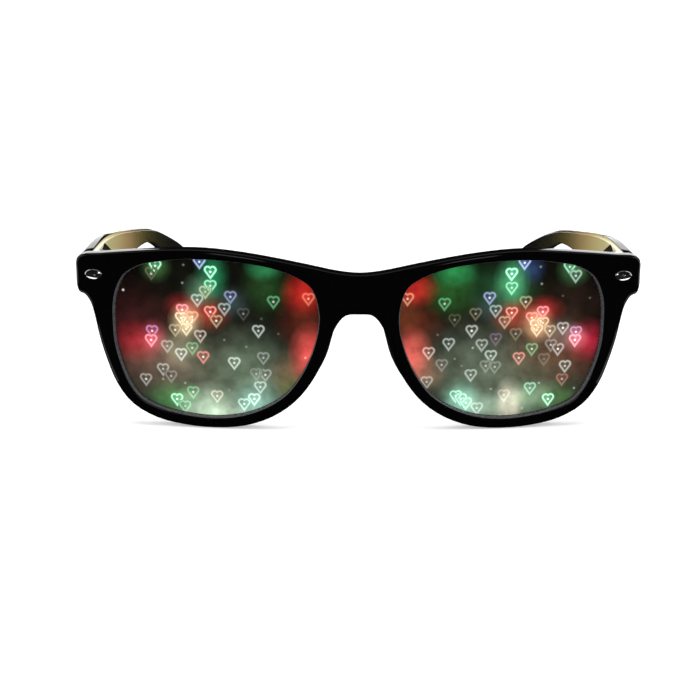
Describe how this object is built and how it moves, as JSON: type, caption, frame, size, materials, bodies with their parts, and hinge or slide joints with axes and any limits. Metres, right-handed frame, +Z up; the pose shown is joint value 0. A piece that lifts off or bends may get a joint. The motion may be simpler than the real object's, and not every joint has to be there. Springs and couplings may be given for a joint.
{
  "type": "diffraction glasses",
  "caption": "Black plastic novelty glasses with clear lenses, grating films that show small coloured hearts, oval silver rivets and folding temples.",
  "frame": {"origin": "on the table, under the middle of the whole object with its temples open", "axes": "+X to the wearer's left, -Y the way the wearer looks, +Z up"},
  "size_m": [0.1462, 0.1516, 0.0478],
  "materials": {
    "black_plastic": "high-gloss black moulded plastic",
    "lens": "clear polished plastic lens blank",
    "grating": "thin embossed diffraction film with coloured glows and small hearts",
    "bright_metal": "polished nickel-plated steel",
    "hinge_metal": "tumbled nickel-plated steel"
  },
  "bodies": {
    "front": {"front_frame": "black_plastic", "left_lens": "lens", "right_lens": "lens", "left_grating_film": "grating", "right_grating_film": "grating", "left_rivet": "bright_metal", "right_rivet": "bright_metal", "left_front_leaf": "hinge_metal", "right_front_leaf": "hinge_metal", "left_hinge_screw": "bright_metal", "right_hinge_screw": "bright_metal"},
    "left_temple": {"left_temple": "black_plastic", "left_temple_leaf": "hinge_metal"},
    "right_temple": {"right_temple": "black_plastic", "right_temple_leaf": "hinge_metal"}
  },
  "joints": [
    {"name": "left_temple_fold", "type": "hinge", "parent": "front", "child": "left_temple", "pos_m": [0.0678, -0.06354, 0.0403], "axis": [0, 0, 1], "range_deg": [0, 85]},
    {"name": "right_temple_fold", "type": "hinge", "parent": "front", "child": "right_temple", "pos_m": [-0.0678, -0.06354, 0.0403], "axis": [0, 0, -1], "range_deg": [0, 81]}
  ]
}
